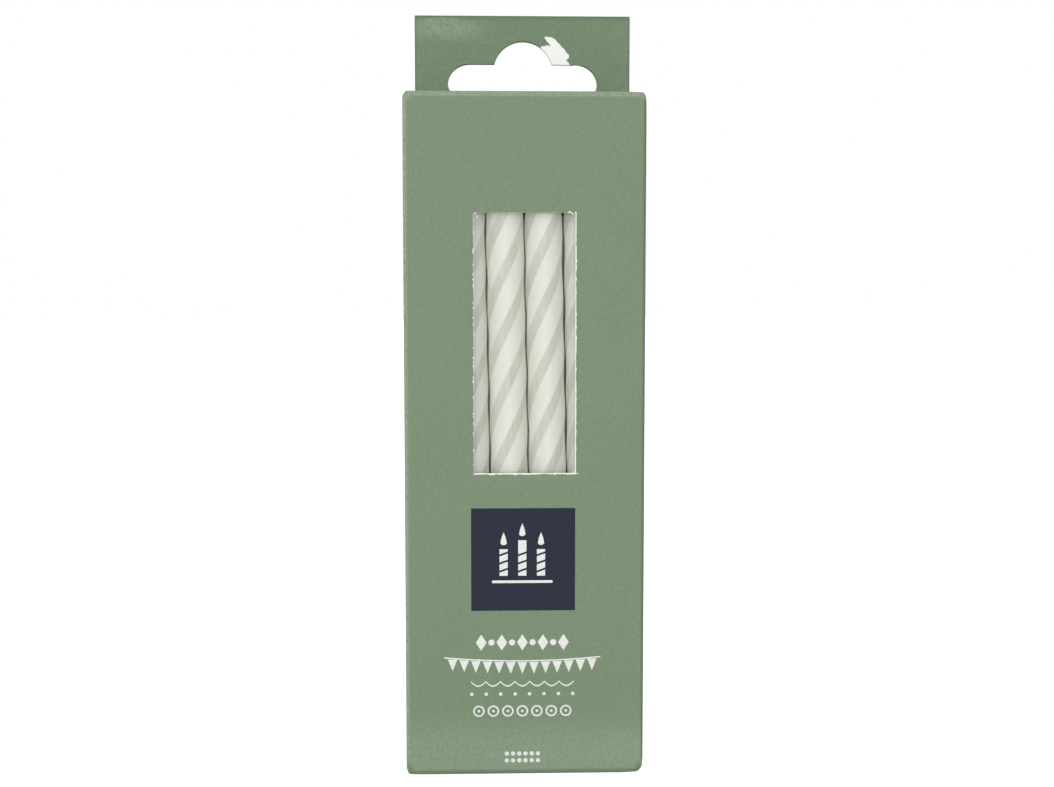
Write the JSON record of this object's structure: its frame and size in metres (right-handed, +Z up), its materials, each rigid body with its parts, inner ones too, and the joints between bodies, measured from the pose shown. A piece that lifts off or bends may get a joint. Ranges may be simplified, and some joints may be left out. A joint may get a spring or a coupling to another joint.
{
  "type": "pack of spiral birthday candles",
  "caption": "Slim upright folding carton with a display window, a tuck lid and a hang tab, holding rows of white twisted wax candles with wicks.",
  "frame": {"origin": "centre of the carton's base, on the surface it stands on", "axes": "+Z up the carton, -Y out of the windowed front panel, +X to the right seen from the front"},
  "size_m": [0.032, 0.012, 0.103],
  "materials": {
    "printed_board": "sage green print, matt, fine paper grain",
    "bare_board": "uncoated white board",
    "wax": "ivory white paraffin wax, soft sheen, slightly translucent",
    "wick": "braided white cotton"
  },
  "bodies": {
    "carton": {"front_panel": "printed_board", "back_panel": "printed_board", "left_side_panel": "printed_board", "right_side_panel": "printed_board", "glue_flap": "bare_board", "bottom_outer_flap": "printed_board", "bottom_inner_flap": "bare_board", "bottom_dust_flap_left": "bare_board", "bottom_dust_flap_right": "bare_board", "hang_tab_rear_ply": "printed_board", "hang_tab_front_ply": "printed_board"},
    "lid": {"top_lid": "printed_board"},
    "tuck_flap": {"top_tuck_flap": "printed_board"},
    "dust_flap_left": {"top_dust_flap_left": "printed_board"},
    "dust_flap_right": {"top_dust_flap_right": "printed_board"},
    "candle_01": {"candle_01_wax": "wax", "candle_01_wick": "wick"},
    "candle_02": {"candle_02_wax": "wax", "candle_02_wick": "wick"},
    "candle_03": {"candle_03_wax": "wax", "candle_03_wick": "wick"},
    "candle_04": {"candle_04_wax": "wax", "candle_04_wick": "wick"},
    "candle_05": {"candle_05_wax": "wax", "candle_05_wick": "wick"},
    "candle_06": {"candle_06_wax": "wax", "candle_06_wick": "wick"},
    "candle_07": {"candle_07_wax": "wax", "candle_07_wick": "wick"},
    "candle_08": {"candle_08_wax": "wax", "candle_08_wick": "wick"},
    "candle_09": {"candle_09_wax": "wax", "candle_09_wick": "wick"},
    "candle_10": {"candle_10_wax": "wax", "candle_10_wick": "wick"},
    "candle_11": {"candle_11_wax": "wax", "candle_11_wick": "wick"},
    "candle_12": {"candle_12_wax": "wax", "candle_12_wick": "wick"}
  },
  "joints": [
    {"name": "lid_hinge", "type": "hinge", "parent": "carton", "child": "lid", "pos_m": [0, -0.00555, 0.09125], "axis": [1, 0, 0], "range_deg": [0, 120]},
    {"name": "tuck_crease", "type": "hinge", "parent": "lid", "child": "tuck_flap", "pos_m": [0, 0.00425, 0.0908], "axis": [1, 0, 0], "range_deg": [-54, 0]},
    {"name": "dust_crease_left", "type": "hinge", "parent": "carton", "child": "dust_flap_left", "pos_m": [-0.01555, 0, 0.09075], "axis": [0, -1, 0], "range_deg": [0, 60]},
    {"name": "dust_crease_right", "type": "hinge", "parent": "carton", "child": "dust_flap_right", "pos_m": [0.01555, 0, 0.09075], "axis": [0, 1, 0], "range_deg": [0, 60]},
    {"name": "candle_01_slide", "type": "slide", "parent": "carton", "child": "candle_01", "axis": [0, 0, 1], "range_m": [0, 0.0022]},
    {"name": "candle_02_slide", "type": "slide", "parent": "carton", "child": "candle_02", "axis": [0, 0, 1], "range_m": [0, 0.0022]},
    {"name": "candle_03_slide", "type": "slide", "parent": "carton", "child": "candle_03", "axis": [0, 0, 1], "range_m": [0, 0.0022]},
    {"name": "candle_04_slide", "type": "slide", "parent": "carton", "child": "candle_04", "axis": [0, 0, 1], "range_m": [0, 0.0022]},
    {"name": "candle_05_slide", "type": "slide", "parent": "carton", "child": "candle_05", "axis": [0, 0, 1], "range_m": [0, 0.0022]},
    {"name": "candle_06_slide", "type": "slide", "parent": "carton", "child": "candle_06", "axis": [0, 0, 1], "range_m": [0, 0.0022]},
    {"name": "candle_07_slide", "type": "slide", "parent": "carton", "child": "candle_07", "axis": [0, 0, 1], "range_m": [0, 0.0022]},
    {"name": "candle_08_slide", "type": "slide", "parent": "carton", "child": "candle_08", "axis": [0, 0, 1], "range_m": [0, 0.0022]},
    {"name": "candle_09_slide", "type": "slide", "parent": "carton", "child": "candle_09", "axis": [0, 0, 1], "range_m": [0, 0.0022]},
    {"name": "candle_10_slide", "type": "slide", "parent": "carton", "child": "candle_10", "axis": [0, 0, 1], "range_m": [0, 0.0022]},
    {"name": "candle_11_slide", "type": "slide", "parent": "carton", "child": "candle_11", "axis": [0, 0, 1], "range_m": [0, 0.0022]},
    {"name": "candle_12_slide", "type": "slide", "parent": "carton", "child": "candle_12", "axis": [0, 0, 1], "range_m": [0, 0.0022]}
  ],
  "couplings": [
    {"joint": "tuck_crease", "follows": "lid_hinge", "ratio": -0.45},
    {"joint": "dust_crease_left", "follows": "lid_hinge", "ratio": 0.5},
    {"joint": "dust_crease_right", "follows": "lid_hinge", "ratio": 0.5}
  ]
}
